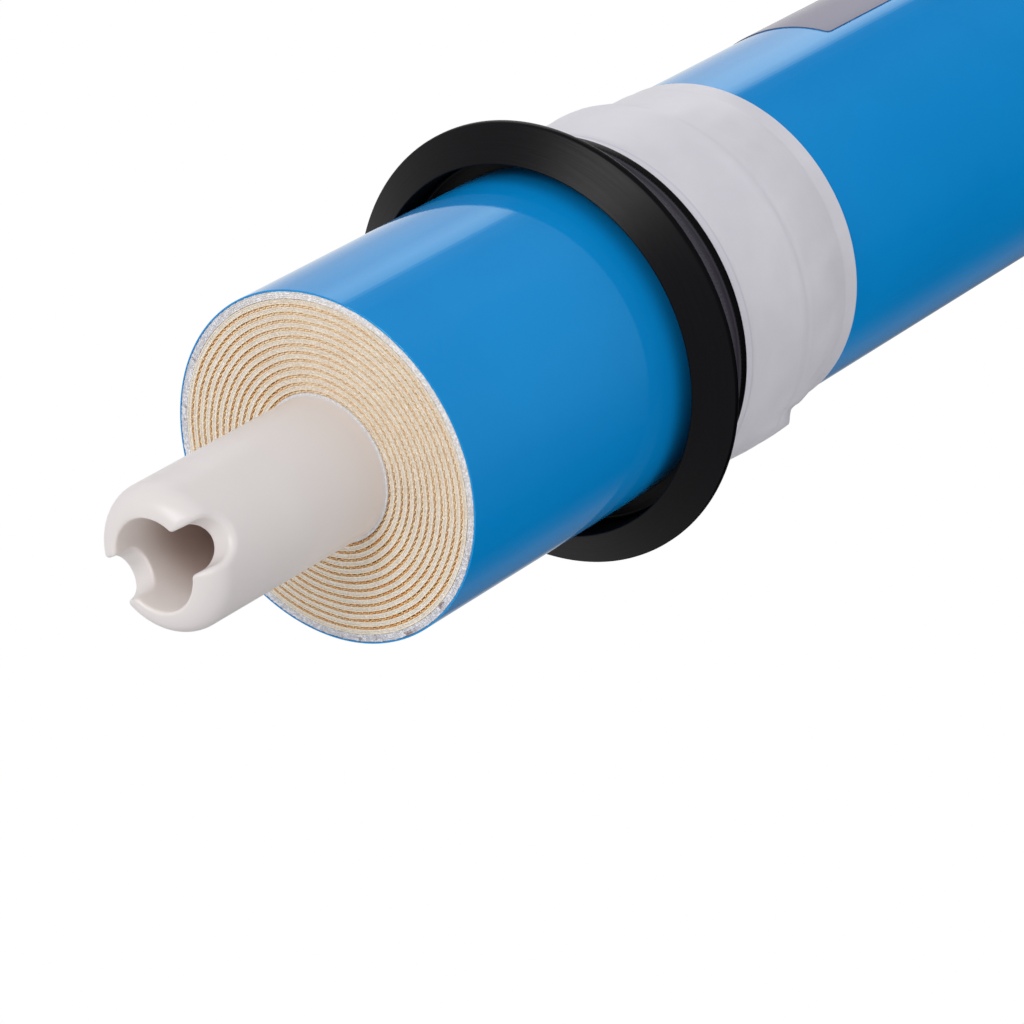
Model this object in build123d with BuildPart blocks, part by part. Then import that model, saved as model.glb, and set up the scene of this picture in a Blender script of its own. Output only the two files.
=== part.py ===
from build123d import *
from math import cos, radians, sin
import os

# Spiral-wound membrane element for a small drinking-water housing, in millimetres.
# It stands on its product end: Z = 0 is the rim of the product spigot, +Z runs up the
# permeate tube to the notched nose at the feed end.

# Overall lengths along the permeate tube
overall_length = 298.0
product_stub = 21.3
feed_stub = 28.7

# Permeate tube
tube_r = 8.5
tube_bore_r = 5.3
spigot_chamfer = 0.5
nose_dome_rise = 0.5
nose_edge_r = 2.3
nose_mouth_chamfer = 0.4
nose_bore_depth = 22.0
web_thickness = 4.0
notch_width = 5.0
notch_depth = 4.35
permeate_hole_r = 1.0
permeate_hole_count = 4
permeate_hole_margin = 30.0

# O-rings on the product spigot, their round cord given a few flats
o_ring_cord_r = 0.9
o_ring_flats = 8
o_ring_stand_out = 0.45
o_ring_groove_width = 2.4
o_ring_first_z = 5.0
o_ring_spacing = 5.5

# Winding: one leaf and one feed spacer, wound together over the carrier cloth
wind_clearance = 0.02
carrier_thickness = 0.30
spacer_thickness = 0.32
leaf_thickness = 0.54
turn_count = 12
climb_start = 71.0
climb_angle = 48.0
fabric_thickness = 0.90
outer_tape_thickness = 0.19

# Brine seal, placed by the distance of its lip behind the feed face of the roll
seal_setback = 37.5
seal_lip_reach = 6.3
seal_lip_inner_reach = 1.95
seal_lip_lean = 2.55
seal_lip_rim = 0.8
seal_cup_depth = 5.2
seal_root_length = 7.2
seal_root_wall = 1.25
seal_groove_width = 2.6
seal_ridge_height = 0.8
seal_ridge_width = 1.5
seal_skirt_wall = 1.5
seal_skirt_length = 13.0

# Seal tape, wound over the seal's skirt and on to the roll
seal_tape_thickness = 0.20
seal_tape_drape = 10.5
seal_tape_bend_height = 5.0
seal_tape_bend_reach = 1.0
seal_tape_land = 2.2
pleat_height = 0.35
pleat_width = 1.2
pleat_angle = -148.0
pleat_run = 7.2
pleat_tail = 0.6

# Label on the roll
label_thickness = 0.10
label_setback = 98.5
label_length = 100.0
label_width = 45.0
label_edge_angle = -34.6

# Places along the tube
roll_foot = product_stub
roll_face = overall_length - feed_stub
roll_length = roll_face - roll_foot

# Radii of the winding, from the tube outwards
turn_pitch = spacer_thickness + leaf_thickness + 2 * wind_clearance
carrier_inner_r = tube_r + wind_clearance
carrier_outer_r = carrier_inner_r + carrier_thickness
spacer_start_r = carrier_outer_r + wind_clearance
leaf_start_r = spacer_start_r + spacer_thickness + wind_clearance
fabric_inner_r = spacer_start_r + turn_count * turn_pitch
fabric_outer_r = fabric_inner_r + fabric_thickness
outer_tape_inner_r = fabric_outer_r + wind_clearance
roll_r = outer_tape_inner_r + outer_tape_thickness

# The sector where each turn climbs on to the turn below
climb_end = climb_start + climb_angle
climb_middle = climb_start + climb_angle / 2
level_angle = 360.0 - climb_angle


def polar(radius, angle):
    return (radius * cos(radians(angle)), radius * sin(radians(angle)))


def level_turn(radius):
    """The part of a turn that keeps its distance from the axis."""
    CenterArc((0, 0), radius, climb_end, level_angle)


def climbing_turn(radius):
    """The part of a turn that climbs from one radius to the next."""
    ThreePointArc(
        polar(radius, climb_start),
        polar(radius + turn_pitch / 2, climb_middle),
        polar(radius + turn_pitch, climb_end),
    )


def wound_side(start_r):
    """One side of a sheet that is wound turn_count times."""
    for turn in range(turn_count):
        level_turn(start_r + turn * turn_pitch)
        if turn + 1 < turn_count:
            climbing_turn(start_r + turn * turn_pitch)


def wound_outline(start_r, thickness):
    """The closed outline of a wound sheet, seen along the axis."""
    end_r = start_r + (turn_count - 1) * turn_pitch
    wound_side(start_r)
    wound_side(start_r + thickness)
    Line(polar(start_r, climb_end), polar(start_r + thickness, climb_end))
    Line(polar(end_r, climb_start), polar(end_r + thickness, climb_start))


def stepped_outline(radius):
    """A closed turn at this radius, with a step where the wound sheets begin or end."""
    level_turn(radius)
    Line(polar(radius, climb_start), polar(radius - turn_pitch, climb_start))
    climbing_turn(radius - turn_pitch)


# Permeate tube: one moulding, closed by a web between the product bore and the nose
nose_tip = overall_length
nose_shoulder = nose_tip - nose_dome_rise
nose_bore_foot = nose_tip - nose_bore_depth
web_foot = nose_bore_foot - web_thickness
groove_floor_r = tube_r + o_ring_stand_out - 2 * o_ring_cord_r
o_ring_heights = {"o_ring_outer": o_ring_first_z, "o_ring_inner": o_ring_first_z + o_ring_spacing}
hole_spacing = (roll_length - 2 * permeate_hole_margin) / (permeate_hole_count - 1)

with BuildPart() as permeate_tube:
    with BuildSketch(Plane.XZ):
        with BuildLine():
            Polyline(
                (0, web_foot),
                (tube_bore_r, web_foot),
                (tube_bore_r, 0),
                (tube_r, 0),
                (tube_r, nose_shoulder),
                (tube_bore_r + nose_mouth_chamfer, nose_tip),
                (tube_bore_r, nose_tip - nose_mouth_chamfer),
                (tube_bore_r, nose_bore_foot),
                (0, nose_bore_foot),
                close=True,
            )
        make_face()
    revolve(axis=Axis.Z)
    rims = permeate_tube.edges().filter_by(GeomType.CIRCLE)
    chamfer(rims.filter_by_position(Axis.Z, 0, 0), spigot_chamfer)
    fillet(rims.filter_by_position(Axis.Z, nose_shoulder, nose_shoulder), nose_edge_r)
    # Two notches across the rim of the nose, opposite each other
    with BuildSketch(Plane.XZ):
        with Locations((0, nose_tip - notch_depth + notch_width / 2)):
            Circle(notch_width / 2)
            Rectangle(notch_width, notch_depth, align=(Align.CENTER, Align.MIN))
    extrude(amount=tube_r, both=True, mode=Mode.SUBTRACT)
    # Grooves for the O-rings
    for height in o_ring_heights.values():
        with BuildSketch(Plane.XY.offset(height - o_ring_groove_width / 2)):
            Circle(tube_r)
            Circle(groove_floor_r, mode=Mode.SUBTRACT)
        extrude(amount=o_ring_groove_width, mode=Mode.SUBTRACT)
    # Permeate holes, drilled through both walls, turned a quarter from one to the next
    for step in range(permeate_hole_count):
        with Locations((0, 0, roll_foot + permeate_hole_margin + step * hole_spacing)):
            turned = (90, 0, 0) if step % 2 else (0, 90, 0)
            Cylinder(permeate_hole_r, 2 * tube_r, rotation=turned, mode=Mode.SUBTRACT)
permeate_tube.part.label = "permeate_tube"

o_rings = []
for name, height in o_ring_heights.items():
    with BuildPart() as o_ring:
        with BuildSketch(Plane.XZ):
            with Locations((groove_floor_r + o_ring_cord_r, height)):
                RegularPolygon(o_ring_cord_r, o_ring_flats, major_radius=False, rotation=180 / o_ring_flats)
        revolve(axis=Axis.Z)
    o_ring.part.label = name
    o_rings.append(o_ring)

# Carrier cloth: its first turn lies on the tube and tapers up under the wound sheets
with BuildPart() as permeate_carrier:
    with BuildSketch(Plane.XY.offset(roll_foot)):
        with BuildLine():
            level_turn(carrier_outer_r)
            climbing_turn(carrier_outer_r)
            Line(polar(carrier_outer_r + turn_pitch, climb_end), polar(carrier_outer_r, climb_end))
        make_face()
        Circle(carrier_inner_r, mode=Mode.SUBTRACT)
    extrude(amount=roll_length)
permeate_carrier.part.label = "permeate_carrier"

with BuildPart() as feed_spacer:
    with BuildSketch(Plane.XY.offset(roll_foot)):
        with BuildLine():
            wound_outline(spacer_start_r, spacer_thickness)
        make_face()
    extrude(amount=roll_length)
feed_spacer.part.label = "feed_spacer"

with BuildPart() as membrane_leaf:
    with BuildSketch(Plane.XY.offset(roll_foot)):
        with BuildLine():
            wound_outline(leaf_start_r, leaf_thickness)
        make_face()
    extrude(amount=roll_length)
membrane_leaf.part.label = "membrane_leaf"

with BuildPart() as fabric_wrap:
    with BuildSketch(Plane.XY.offset(roll_foot)):
        Circle(fabric_outer_r)
        with BuildLine():
            stepped_outline(fabric_inner_r)
        make_face(mode=Mode.SUBTRACT)
    extrude(amount=roll_length)
fabric_wrap.part.label = "fabric_wrap"

with BuildPart() as outer_tape:
    with BuildSketch(Plane.XY.offset(roll_foot)):
        Circle(roll_r)
        Circle(outer_tape_inner_r, mode=Mode.SUBTRACT)
    extrude(amount=roll_length)
outer_tape.part.label = "outer_tape"

# Brine seal: a cup whose lip stands open towards the feed, and a skirt held by tape
seal_bore_r = roll_r + wind_clearance
seal_front = roll_face - seal_setback
seal_root_top = seal_front - seal_root_length
seal_groove_foot = seal_root_top - seal_groove_width
seal_ridge_foot = seal_groove_foot - seal_ridge_width
seal_skirt_foot = seal_ridge_foot - seal_skirt_length
seal_root_r = seal_bore_r + seal_root_wall
seal_ridge_r = seal_root_r + seal_ridge_height
seal_skirt_r = seal_bore_r + seal_skirt_wall
seal_lip_r = roll_r + seal_lip_reach
seal_lip_inner_r = roll_r + seal_lip_inner_reach
seal_rim_top = seal_front - seal_lip_lean

with BuildPart() as brine_seal:
    with BuildSketch(Plane.XZ):
        with BuildLine():
            Polyline(
                (seal_bore_r, seal_skirt_foot),
                (seal_bore_r, seal_front - seal_cup_depth),
                (seal_lip_inner_r, seal_front - seal_cup_depth),
                (seal_lip_inner_r, seal_front),
                (seal_lip_r, seal_rim_top),
                (seal_lip_r, seal_rim_top - seal_lip_rim),
                (seal_root_r, seal_root_top),
                (seal_root_r, seal_groove_foot),
                (seal_ridge_r, seal_groove_foot),
                (seal_ridge_r, seal_ridge_foot),
                (seal_skirt_r, seal_ridge_foot),
                (seal_skirt_r, seal_skirt_foot),
                close=True,
            )
        make_face()
    revolve(axis=Axis.Z)
brine_seal.part.label = "brine_seal"

# Seal tape: round the skirt, bulging down to the roll where it leaves the skirt
tape_top = seal_ridge_foot - wind_clearance
tape_skirt_r = seal_skirt_r + wind_clearance
tape_land_r = roll_r + wind_clearance
tape_shoulder = seal_skirt_foot
tape_drape_foot = tape_shoulder - seal_tape_drape
tape_bend = tape_drape_foot + seal_tape_bend_height
tape_bend_r = tape_land_r + seal_tape_bend_reach
tape_foot = tape_drape_foot - seal_tape_land

# A pleat of spare tape stands out where the tape narrows
pleat_plane = Plane(
    origin=(0, 0, 0),
    x_dir=(*polar(1, pleat_angle), 0),
    z_dir=(*polar(1, pleat_angle - 90), 0),
)
pleat_root = seal_tape_thickness / 2
pleat_crest_r = tape_skirt_r + seal_tape_thickness + pleat_height

with BuildPart() as seal_tape:
    with BuildSketch(Plane.XZ):
        with BuildLine():
            inside = Polyline(
                (tape_skirt_r, tape_top),
                (tape_skirt_r, tape_shoulder),
                (tape_bend_r, tape_bend),
                (tape_land_r, tape_drape_foot),
                (tape_land_r, tape_foot),
            )
            offset(inside, amount=seal_tape_thickness, side=Side.LEFT, kind=Kind.INTERSECTION)
        make_face()
    revolve(axis=Axis.Z)
    with BuildSketch(pleat_plane):
        with BuildLine():
            Polyline(
                (tape_skirt_r + pleat_root, tape_shoulder),
                (pleat_crest_r, tape_shoulder),
                (pleat_crest_r, tape_shoulder - pleat_run),
                (tape_land_r + pleat_root, tape_drape_foot - pleat_tail),
                (tape_land_r + pleat_root, tape_drape_foot),
                (tape_bend_r + pleat_root, tape_bend),
                close=True,
            )
        make_face()
    extrude(amount=pleat_width / 2, both=True)
seal_tape.part.label = "seal_tape"

# Label: a plain sheet, bent round the roll
label_inner_r = roll_r + wind_clearance
label_outer_r = label_inner_r + label_thickness
label_foot = roll_face - label_setback - label_length
label_arc = label_width / radians(label_inner_r)

with BuildPart() as label:
    with BuildSketch(Plane.XY.offset(label_foot)):
        with BuildLine():
            near = CenterArc((0, 0), label_inner_r, label_edge_angle, label_arc)
            far = CenterArc((0, 0), label_outer_r, label_edge_angle, label_arc)
            Line(near @ 0, far @ 0)
            Line(near @ 1, far @ 1)
        make_face()
    extrude(amount=label_length)
label.part.label = "label"

os.makedirs("parts", exist_ok=True)
pieces = [
    permeate_tube,
    *o_rings,
    permeate_carrier,
    feed_spacer,
    membrane_leaf,
    fabric_wrap,
    outer_tape,
    brine_seal,
    seal_tape,
    label,
]
for piece in pieces:
    export_step(piece.part, f"parts/{piece.part.label}.step")
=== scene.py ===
# %% [markdown]
# A spiral-wound membrane element, the filter inside a small drinking-water purifier.
# A permeate tube carries a long leaf of membrane and a plastic net, wound on like a
# scroll. Cloth, blue film, a rubber cup seal and white tape close the roll. The CAD model
# already holds every piece at its real size. This lesson dresses each of them in turn:
# the mesh first, then its finish.

# %% Load the frame
import math
from contextlib import contextmanager

import bmesh
import bpy
import numpy as np
from mathutils import Matrix, Vector, noise


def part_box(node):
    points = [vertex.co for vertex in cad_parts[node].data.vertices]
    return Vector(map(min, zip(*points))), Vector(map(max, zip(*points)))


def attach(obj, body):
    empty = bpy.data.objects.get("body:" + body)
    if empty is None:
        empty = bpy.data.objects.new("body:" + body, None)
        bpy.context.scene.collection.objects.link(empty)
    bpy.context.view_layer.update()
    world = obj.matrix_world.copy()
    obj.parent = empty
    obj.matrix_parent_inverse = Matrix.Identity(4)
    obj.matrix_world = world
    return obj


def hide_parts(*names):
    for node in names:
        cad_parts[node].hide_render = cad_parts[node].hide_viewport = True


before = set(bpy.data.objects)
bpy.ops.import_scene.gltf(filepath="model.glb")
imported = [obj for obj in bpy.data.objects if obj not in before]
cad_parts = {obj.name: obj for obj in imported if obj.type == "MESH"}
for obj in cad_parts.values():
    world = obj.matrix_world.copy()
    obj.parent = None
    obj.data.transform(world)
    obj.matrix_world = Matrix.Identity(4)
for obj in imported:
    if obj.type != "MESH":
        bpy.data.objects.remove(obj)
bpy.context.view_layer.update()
MM = 0.001

# %% [markdown]
# Every later size comes from the frame: the tube, the roll and the seal are read from
# the boxes of their nodes, so the dressed pieces follow the CAD model if it changes.

# %% Read the main sizes
tube_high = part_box("permeate_tube")[1]
film_low, film_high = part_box("outer_tape")
tube_r = tube_high.x
nose_tip = tube_high.z
roll_r = film_high.x
roll_foot = film_low.z
roll_face = film_high.z
print(f"tube {2 * tube_r / MM:.1f} mm, roll {2 * roll_r / MM:.2f} mm across")
print(f"roll face at {roll_face / MM:.1f} mm")

# %% [markdown]
# The camera comes first, because every later choice is judged through it. It was solved
# from the round edges of the real element: a long lens, a little above the nose, looking
# down the roll. Its three axes are written as they were solved and joined in a matrix.

# %% Place the camera
camera_data = bpy.data.cameras.new("camera")
camera_data.sensor_width = 36.0
camera_data.lens = 160.4
camera_data.clip_start = 0.01
camera_data.clip_end = 20.0
camera = bpy.data.objects.new("camera", camera_data)
bpy.context.scene.collection.objects.link(camera)
camera_place = Vector((0.02999, -0.3594, roll_face + 0.3458))
camera_right = Vector((-0.4390, -0.6699, -0.5988)).normalized()
camera_back = Vector((0.0866, -0.6949, 0.7139)).normalized()
camera_up = camera_back.cross(camera_right).normalized()
camera_right = camera_up.cross(camera_back)
axes = Matrix((camera_right, camera_up, camera_back)).transposed()
camera.matrix_world = Matrix.Translation(camera_place) @ axes.to_4x4()
bpy.context.scene.camera = camera
bpy.context.scene.view_settings.view_transform = "Standard"
print("camera at", [round(value / MM, 1) for value in camera_place])

# %% [markdown]
# A shader is easier to read as a sum than as a web of links. This small class wraps one
# output socket: arithmetic on it adds Math nodes, and its node method adds any other
# node, with its settings first and then the values or links of its inputs.


# %% Write shader maths as expressions
class Socket:
    """One output of a shader node, ready for sums, products and further nodes."""

    def __init__(self, tree, output=None):
        self.tree = tree
        self.output = output

    def node(self, kind, settings=None, inputs=None, output=0):
        """Adds a node, sets it up and gives one of its outputs."""
        added = self.tree.nodes.new(kind)
        for name, value in (settings or {}).items():
            if name == "stops":
                set_stops(added.color_ramp, value)
            else:
                setattr(added, name, value)
        for name, value in (inputs or {}).items():
            connect(self.tree, added.inputs[name], value)
        return Socket(self.tree, added.outputs[output])

    def math(self, operation, *values):
        """Adds a Math node that works on these values or Sockets."""
        return self.node("ShaderNodeMath", {"operation": operation}, dict(enumerate(values)))

    def __add__(self, other):
        return self.math("ADD", self, other)

    def __sub__(self, other):
        return self.math("SUBTRACT", self, other)

    def __rsub__(self, other):
        return self.math("SUBTRACT", other, self)

    def __mul__(self, other):
        return self.math("MULTIPLY", self, other)

    __radd__ = __add__
    __rmul__ = __mul__

    def mix(self, low, high):
        """The colour low where this socket is 0 and high where it is 1."""
        colours = {"data_type": "RGBA"}
        return self.node("ShaderNodeMix", colours, {0: self, 6: low, 7: high}, output=2)


def connect(tree, place, value):
    """Links a Socket to an input, or writes a plain value in it."""
    if isinstance(value, Socket):
        tree.links.new(value.output, place)
    elif isinstance(value, tuple) and len(value) == 3 and place.type == "RGBA":
        place.default_value = (*value, 1.0)
    else:
        place.default_value = value


def set_stops(ramp, stops):
    """Fills a colour ramp with (place, colour) stops."""
    while len(ramp.elements) > 1:
        ramp.elements.remove(ramp.elements[-1])
    ramp.elements[0].position = stops[0][0]
    ramp.elements[0].color = (*stops[0][1], 1.0)
    for place, colour in stops[1:]:
        ramp.elements.new(place).color = (*colour, 1.0)


def new_material(name):
    """A node material, with a Socket to build from and its Principled shader."""
    material = bpy.data.materials.new(name)
    material.use_nodes = True
    shader = material.node_tree.nodes["Principled BSDF"]
    return material, Socket(material.node_tree), shader


def finish_with(shader, **values):
    """Sets the Principled inputs that are named, with spaces as underscores."""
    for name, value in values.items():
        connect(shader.id_data, shader.inputs[name.replace("_", " ")], value)


print("shader helpers ready")

# %% [markdown]
# The element stands on a plain pale floor. The camera, glossy and transmitted rays see
# floor and room as white, which costs the object no extra light. Diffuse rays get a
# softer grey room, so that a colour renders about as it is written.


# %% Lay the floor and light the room
LOOKING_RAYS = ("Is Camera Ray", "Is Glossy Ray", "Is Transmission Ray")
WHITE = (1.0, 1.0, 1.0)
ROOM_LIGHT = 0.72


def add(primitive, name, scale=(1, 1, 1), **settings):
    """Adds one primitive alone, names it and applies its place, turn and scale."""
    bpy.ops.object.select_all(action="DESELECT")
    primitive(**settings)
    piece = bpy.context.object
    piece.name = name
    piece.scale = scale
    bpy.ops.object.transform_apply(location=True, rotation=True, scale=True)
    return piece


def white_to_see(root, plain, white):
    """Swaps a plain shader for a white one for the rays that look, not light."""
    path = root.node("ShaderNodeLightPath")
    rays = {name: Socket(root.tree, path.output.node.outputs[name]) for name in LOOKING_RAYS}
    looking = rays["Is Camera Ray"] + rays["Is Glossy Ray"] + rays["Is Transmission Ray"]
    seen = looking.math("MINIMUM", looking, 1.0)
    return root.node("ShaderNodeMixShader", None, {0: seen, 1: plain, 2: white})


world = bpy.data.worlds.new("room")
bpy.context.scene.world = world
world.use_nodes = True
root = Socket(world.node_tree)
room = root.node("ShaderNodeBackground", None, {"Color": WHITE, "Strength": ROOM_LIGHT})
white = root.node("ShaderNodeBackground", None, {"Color": WHITE, "Strength": 1.0})
world_out = world.node_tree.nodes["World Output"]
connect(world.node_tree, world_out.inputs["Surface"], white_to_see(root, room, white))

floor = add(bpy.ops.mesh.primitive_plane_add, "floor", size=12.0, location=(0, 0, -0.1 * MM))
floor_paint, root, shader = new_material("pale_floor")
finish_with(shader, Base_Color=(0.80, 0.80, 0.81), Roughness=0.6)
lit = Socket(root.tree, shader.outputs[0])
glow = root.node("ShaderNodeEmission", None, {"Color": WHITE, "Strength": 1.0})
floor_out = root.tree.nodes["Material Output"]
connect(root.tree, floor_out.inputs["Surface"], white_to_see(root, lit, glow))
floor.data.materials.append(floor_paint)
print("floor and room ready")

# %% [markdown]
# Operators act on all that is selected, so each piece is selected alone before it is
# shaped, and a with block keeps it in edit mode. A finished piece is at home in its CAD
# body, hides the CAD nodes it stands for, and shades smoothly except across its real edges.
# A bevel would tilt the normals of the long wall beside it, and with them every reflection,
# so the normals are weighted by the size of the faces.


# %% Small helpers for modelling
def only(piece):
    """Makes one piece the selected and active object."""
    bpy.ops.object.select_all(action="DESELECT")
    piece.select_set(True)
    bpy.context.view_layer.objects.active = piece


@contextmanager
def editing(piece):
    """Holds one piece in edit mode, with all of it selected at first."""
    only(piece)
    bpy.ops.object.mode_set(mode="EDIT")
    bpy.ops.mesh.select_all(action="SELECT")
    yield
    bpy.ops.object.mode_set(mode="OBJECT")


def slice_all(place, normal, **settings):
    """In edit mode, cuts the whole piece along one plane."""
    bpy.ops.mesh.select_all(action="SELECT")
    bpy.ops.mesh.bisect(plane_co=place, plane_no=normal, **settings)


def pick_edges(piece, wanted):
    """In edit mode, selects the edges whose two ends both satisfy wanted."""
    bpy.ops.mesh.select_mode(type="EDGE")
    bpy.ops.mesh.select_all(action="DESELECT")
    shape = bmesh.from_edit_mesh(piece.data)
    for edge in shape.edges:
        if all(wanted(vert.co) for vert in edge.verts):
            edge.select_set(True)
    bmesh.update_edit_mesh(piece.data)


def apply_modifier(piece, kind, **settings):
    """Adds one modifier, with its settings, and applies it."""
    only(piece)
    modifier = piece.modifiers.new(kind.lower(), kind)
    for name, value in settings.items():
        setattr(modifier, name, value)
    bpy.ops.object.modifier_apply(modifier=modifier.name)


def smooth_shade(piece, angle=35.0):
    """Shades smoothly across flat edges, with the normals of large faces kept true."""
    only(piece)
    bpy.ops.object.shade_smooth_by_angle(angle=math.radians(angle))
    apply_modifier(piece, "WEIGHTED_NORMAL", mode="FACE_AREA", keep_sharp=True)


def settle(piece, slot, *nodes):
    """Puts a finished piece on the element's body, in place of its CAD nodes."""
    only(piece)
    bpy.ops.object.transform_apply(location=True, rotation=True, scale=True)
    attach(piece, "root")
    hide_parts(*nodes)
    faces = len(piece.data.polygons)
    low, high = (Vector(piece.bound_box[0]) / MM, Vector(piece.bound_box[6]) / MM)
    size = " x ".join(f"{high[axis] - low[axis]:.1f}" for axis in range(3))
    print(f"{piece.name}: {faces} faces, {size} mm")


# %% [markdown]
# Most of the element is turned: film, seal, tape and O-rings are the same outline all the
# way round. A lathe could spin an outline, but here one ring of points is extruded and
# resized from corner to corner, which closes without a seam. The corners are then
# bevelled by the small radius that a moulded or cut edge really has.


# %% Turn a piece from its outline
RING_STEPS = 256
SAME_PLACE = 0.002 * MM


def extrude_along(outline):
    """Extrudes the selected ring of edges from each (radius, height) to the next."""
    for (radius, height), (next_radius, next_height) in zip(outline, outline[1:]):
        rise = (0, 0, next_height - height)
        bpy.ops.mesh.extrude_edges_move(TRANSFORM_OT_translate={"value": rise})
        scale = next_radius / radius
        bpy.ops.transform.resize(value=(scale, scale, 1), center_override=(0, 0, 0))


def turned(name, outline, steps=RING_STEPS):
    """A closed ring of outline points (radius, height), turned round the tube's axis."""
    radius, height = outline[0]
    circle = bpy.ops.mesh.primitive_circle_add
    piece = add(circle, name, vertices=steps, radius=radius, location=(0, 0, height))
    with editing(piece):
        extrude_along((*outline, outline[0]))
        bpy.ops.mesh.select_all(action="SELECT")
        bpy.ops.mesh.remove_doubles(threshold=SAME_PLACE)
        bpy.ops.mesh.normals_make_consistent(inside=False)
    return piece


def soften(piece, corners, width, segments=3):
    """Bevels the rings of edges that run through these (radius, height) corners."""

    def on_corner(place):
        reach = math.hypot(place.x, place.y)
        return any(
            abs(reach - radius) < SAME_PLACE and abs(place.z - height) < SAME_PLACE
            for radius, height in corners
        )

    with editing(piece):
        pick_edges(piece, on_corner)
        bpy.ops.mesh.bevel(offset=width, segments=segments, affect="EDGES")


# %% [markdown]
# The film is a thin tube of glossy blue tape. Its cut rims at both ends of the roll catch
# a little light, so they are bevelled, and nothing else breaks the long cylinder.

# %% Model the blue film
FILM_T = 0.19 * MM
film_inner_r = roll_r - FILM_T
film_outline = (
    (film_inner_r, roll_foot),
    (roll_r, roll_foot),
    (roll_r, roll_face),
    (film_inner_r, roll_face),
)
blue_film = turned("blue_film", film_outline)
soften(blue_film, film_outline[1:3], 0.07 * MM)
smooth_shade(blue_film)
settle(blue_film, "blue_film", "outer_tape")

# %% [markdown]
# The brine seal is one rubber moulding. A lip flares out towards the feed and hides a
# cup, a groove and a ridge follow behind it, and the skirt runs on under the white tape.
# A rubber edge is never sharp: the lip's rim gets the smallest radius and the ridge a
# larger one.

# %% Model the brine seal
GAP = 0.02 * MM
seal_low, seal_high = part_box("brine_seal")
seal_bore_r = roll_r + GAP
seal_front = seal_high.z
lip_r = seal_high.x
lip_inner_r = roll_r + 1.95 * MM
rim_top = seal_front - 2.55 * MM
rim_foot = rim_top - 0.8 * MM
cup_floor = seal_front - 5.2 * MM
root_r = seal_bore_r + 1.25 * MM
root_top = seal_front - 7.2 * MM
groove_foot = root_top - 2.6 * MM
ridge_r = root_r + 0.8 * MM
ridge_foot = groove_foot - 1.5 * MM
skirt_r = seal_bore_r + 1.5 * MM
seal_outline = (
    (seal_bore_r, seal_low.z),
    (seal_bore_r, cup_floor),
    (lip_inner_r, cup_floor),
    (lip_inner_r, seal_front),
    (lip_r, rim_top),
    (lip_r, rim_foot),
    (root_r, root_top),
    (root_r, groove_foot),
    (ridge_r, groove_foot),
    (ridge_r, ridge_foot),
    (skirt_r, ridge_foot),
    (skirt_r, seal_low.z),
)
cup_seal = turned("cup_seal", seal_outline)
soften(cup_seal, (seal_outline[3],), 0.25 * MM, 4)
soften(cup_seal, (seal_outline[4], seal_outline[5]), 0.22 * MM, 4)
soften(cup_seal, (seal_outline[2], seal_outline[6], seal_outline[7]), 0.45 * MM, 4)
soften(cup_seal, (seal_outline[8], seal_outline[9]), 0.30 * MM, 4)
smooth_shade(cup_seal, 50.0)
settle(cup_seal, "seal_rubber", "brine_seal")

# %% [markdown]
# The white tape holds the seal's skirt. It starts under the ridge, lies on the skirt, and
# then bulges down to the film like a sleeve that is a little too wide. Its outline is
# turned with a few rings on every bend, and a Bevel would only blunt it, so the bends
# themselves carry the soft form. The second layer of tape starts a little further down,
# which leaves the thin step at its upper edge.

# %% Turn the white tape
tape_low, tape_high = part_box("seal_tape")
TAPE_T = 0.20 * MM
tape_skirt_r = skirt_r + GAP
tape_land_r = roll_r + GAP
shoulder = seal_low.z
drape_foot = shoulder - 10.5 * MM
upper_step = tape_high.z - 1.45 * MM
seam = shoulder + 0.2 * MM


def drape(part):
    """The tape's inner radius between the landing (0) and the skirt (1)."""
    bulge = part + 0.62 * part * (1.0 - part)
    return tape_land_r + (tape_skirt_r - tape_land_r) * np.clip(bulge, 0, 1)


def up_the_drape(height):
    """0 where the tape lands on the film, 1 from the skirt's foot upwards."""
    return np.clip((height - drape_foot) / (shoulder - drape_foot), 0, 1)


DRAPE_RINGS = 16
SKIRT_RINGS = 7
SKIRT_GAP = 1.5 * MM
inside = [(tape_land_r, tape_low.z)]
for ring in range(DRAPE_RINGS + 1):
    share = ring / DRAPE_RINGS
    inside.append((float(drape(share)), drape_foot + share * (shoulder - drape_foot)))
on_skirt = [shoulder + SKIRT_GAP * ring for ring in range(1, SKIRT_RINGS + 1)]
inside += [(tape_skirt_r, height) for height in (*on_skirt, tape_high.z)]
one_layer_r = tape_skirt_r + 0.6 * TAPE_T
outside = [(one_layer_r, tape_high.z), (one_layer_r, upper_step)]
outside.append((tape_skirt_r + TAPE_T, upper_step - 0.1 * MM))
outside += [(tape_skirt_r + TAPE_T, height) for height in reversed(on_skirt)]
outside += [(tape_skirt_r + TAPE_T, seam + 0.3 * MM), (tape_skirt_r + 0.7 * TAPE_T, seam)]
outside += [(radius + TAPE_T, height) for radius, height in reversed(inside[: DRAPE_RINGS + 1])]
white_tape = turned("white_tape", (*inside, *outside), 384)
print("white tape turned:", len(white_tape.data.vertices), "points")

# %% [markdown]
# A soft form is easiest to write as a rule that says how far each point moves outwards.
# These helpers read the points of a mesh as rows of numbers, move them along their radius
# by a rule, and write them back. A sculpting brush would do the same, but not twice alike.


# %% Move points by a rule
def read_points(piece):
    """The places of a mesh's points, one row each."""
    places = np.empty(len(piece.data.vertices) * 3)
    piece.data.vertices.foreach_get("co", places)
    return places.reshape(-1, 3)


def write_points(piece, places):
    """Moves a mesh's points to these places."""
    piece.data.vertices.foreach_set("co", places.ravel())
    piece.data.update()


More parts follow.
